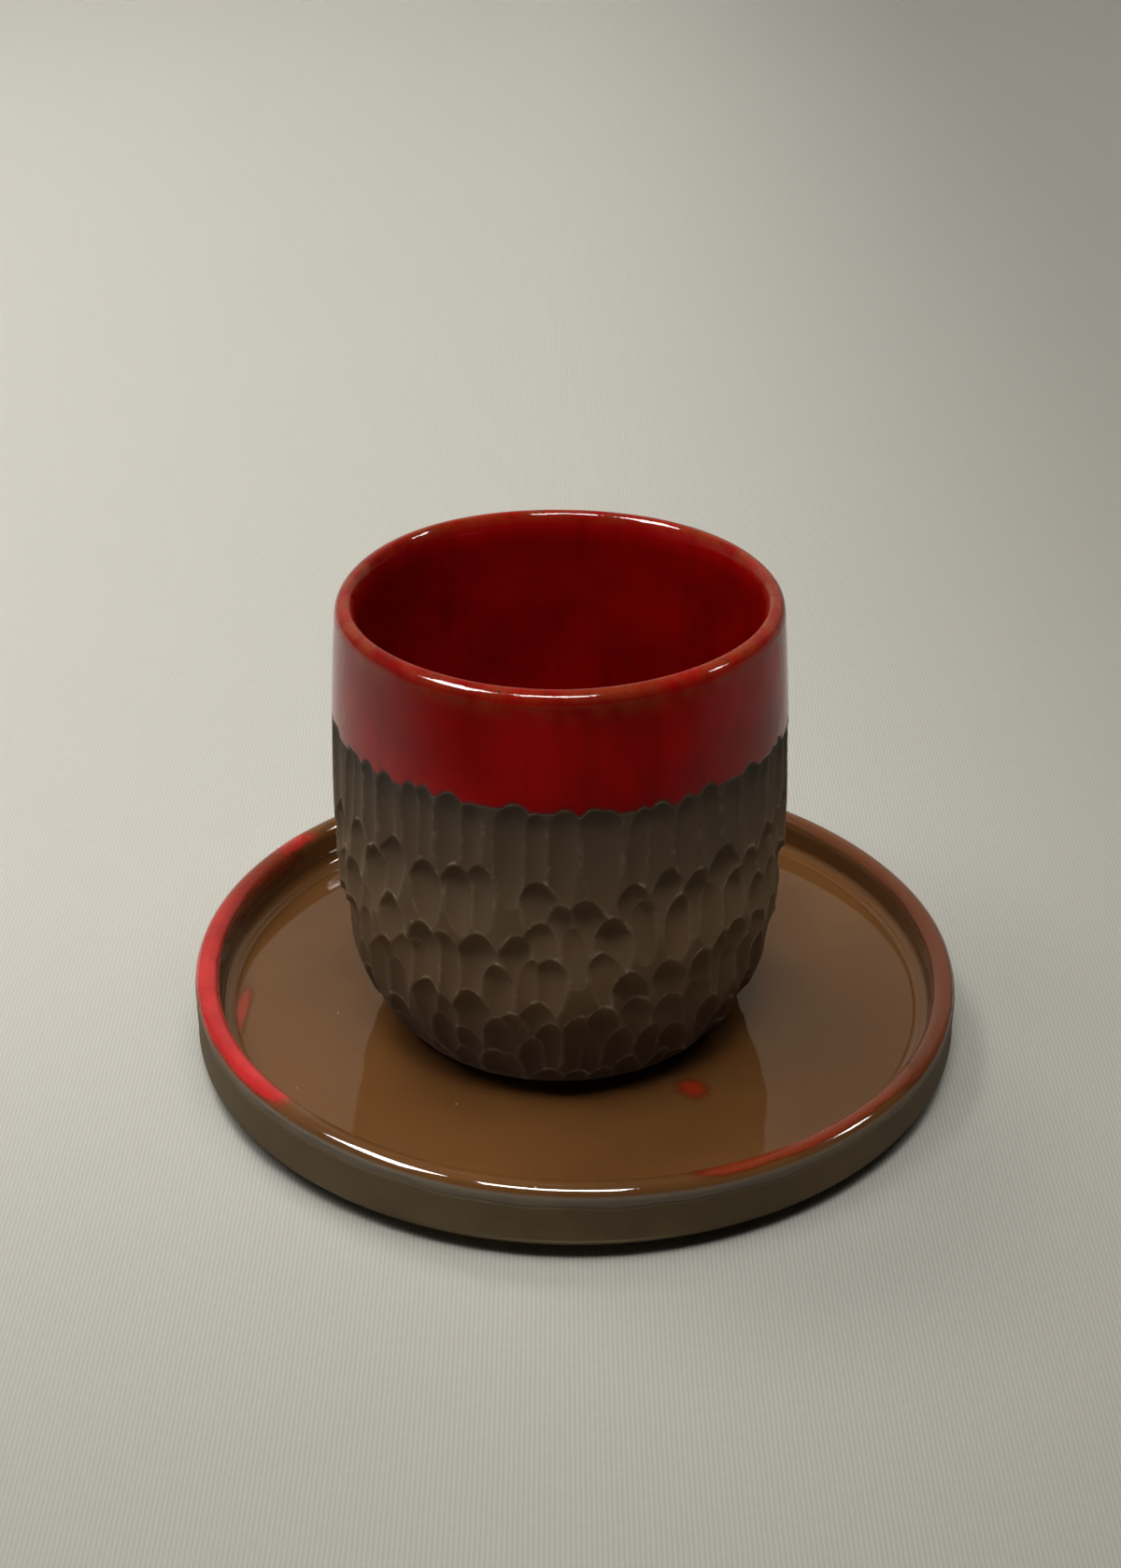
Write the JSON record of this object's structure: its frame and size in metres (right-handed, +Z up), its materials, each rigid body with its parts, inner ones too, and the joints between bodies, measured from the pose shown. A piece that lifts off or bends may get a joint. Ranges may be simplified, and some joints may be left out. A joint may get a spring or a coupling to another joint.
{
  "type": "cortado cup and saucer",
  "caption": "Handleless cortado cup with a gouge-carved clay wall and red glazed lip, standing loose in the well of a low brown-glazed saucer.",
  "frame": {"origin": "on the table, at the middle of the saucer's foot", "axes": "+Z up out of the cup, +X to the right and -Y towards the viewer of the picture"},
  "size_m": [0.128, 0.128, 0.0805],
  "materials": {
    "cup_clay": "unglazed, carved, matt to satin",
    "red_glaze": "gloss, breaking to orange brown at the lip",
    "saucer_clay": "unglazed, matt",
    "brown_glaze": "gloss, clear brown",
    "red_marks": "gloss"
  },
  "bodies": {
    "saucer": {"saucer_body": "saucer_clay", "saucer_glaze": "brown_glaze", "saucer_red_glaze": "red_marks"},
    "cup": {"cup_body": "cup_clay", "cup_red_glaze": "red_glaze"}
  },
  "joints": [
    {"name": "cup_lift", "type": "slide", "parent": "saucer", "child": "cup", "axis": [0, 0, 1], "range_m": [0, 0.06]}
  ]
}
